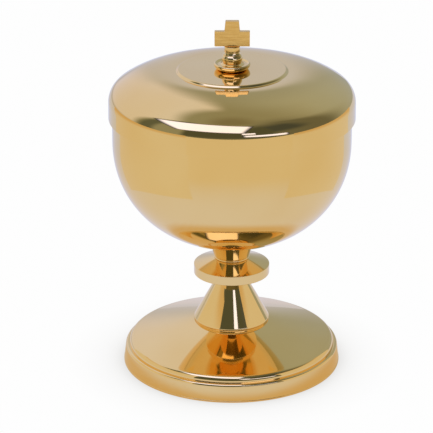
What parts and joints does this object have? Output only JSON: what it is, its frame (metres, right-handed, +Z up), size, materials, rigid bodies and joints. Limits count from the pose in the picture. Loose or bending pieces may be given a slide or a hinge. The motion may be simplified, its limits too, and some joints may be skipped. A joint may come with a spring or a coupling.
{
  "type": "lidded ciborium",
  "caption": "Gilt altar cup with a lift-off domed lid, cross finial, disc knop, conical stem and stepped round foot; stands on a table and holds altar breads.",
  "frame": {"origin": "centre of the foot's underside, on the plane that the vessel stands on", "axes": "+Z up the vessel's axis; the cross's arms lie along X and its front flat faces -Y"},
  "size_m": [0.1358, 0.1358, 0.2],
  "materials": {
    "gilt_spun": "gold-plated spun brass, mirror polished",
    "gilt_turned": "gold-plated turned brass, mirror polished",
    "gilt_cross": "gold-plated flat bar, finely satin polished",
    "raw_brass": "turned brass, unplated",
    "plated_steel": "zinc-plated steel thread"
  },
  "bodies": {
    "vessel": {"cup_bowl": "gilt_spun", "cup_boss": "raw_brass", "neck_sleeve": "gilt_turned", "neck_ring": "gilt_turned", "knop": "gilt_turned", "stem_cone": "gilt_turned", "foot_shell": "gilt_spun", "foot_base_ring": "gilt_spun", "tie_rod": "plated_steel", "clamp_washer": "raw_brass", "lock_washer": "plated_steel", "foot_nut": "plated_steel"},
    "lid": {"lid_shell": "gilt_spun", "lid_seat_ring": "gilt_spun", "finial_base": "gilt_turned", "finial_barrel": "gilt_turned", "finial_collar": "gilt_turned", "cross": "gilt_cross", "finial_stud": "raw_brass", "finial_washer": "raw_brass", "finial_nut": "raw_brass"}
  },
  "joints": [
    {"name": "lid_lift", "type": "slide", "parent": "vessel", "child": "lid", "axis": [0, 0, 1], "range_m": [0, 0.06]}
  ]
}
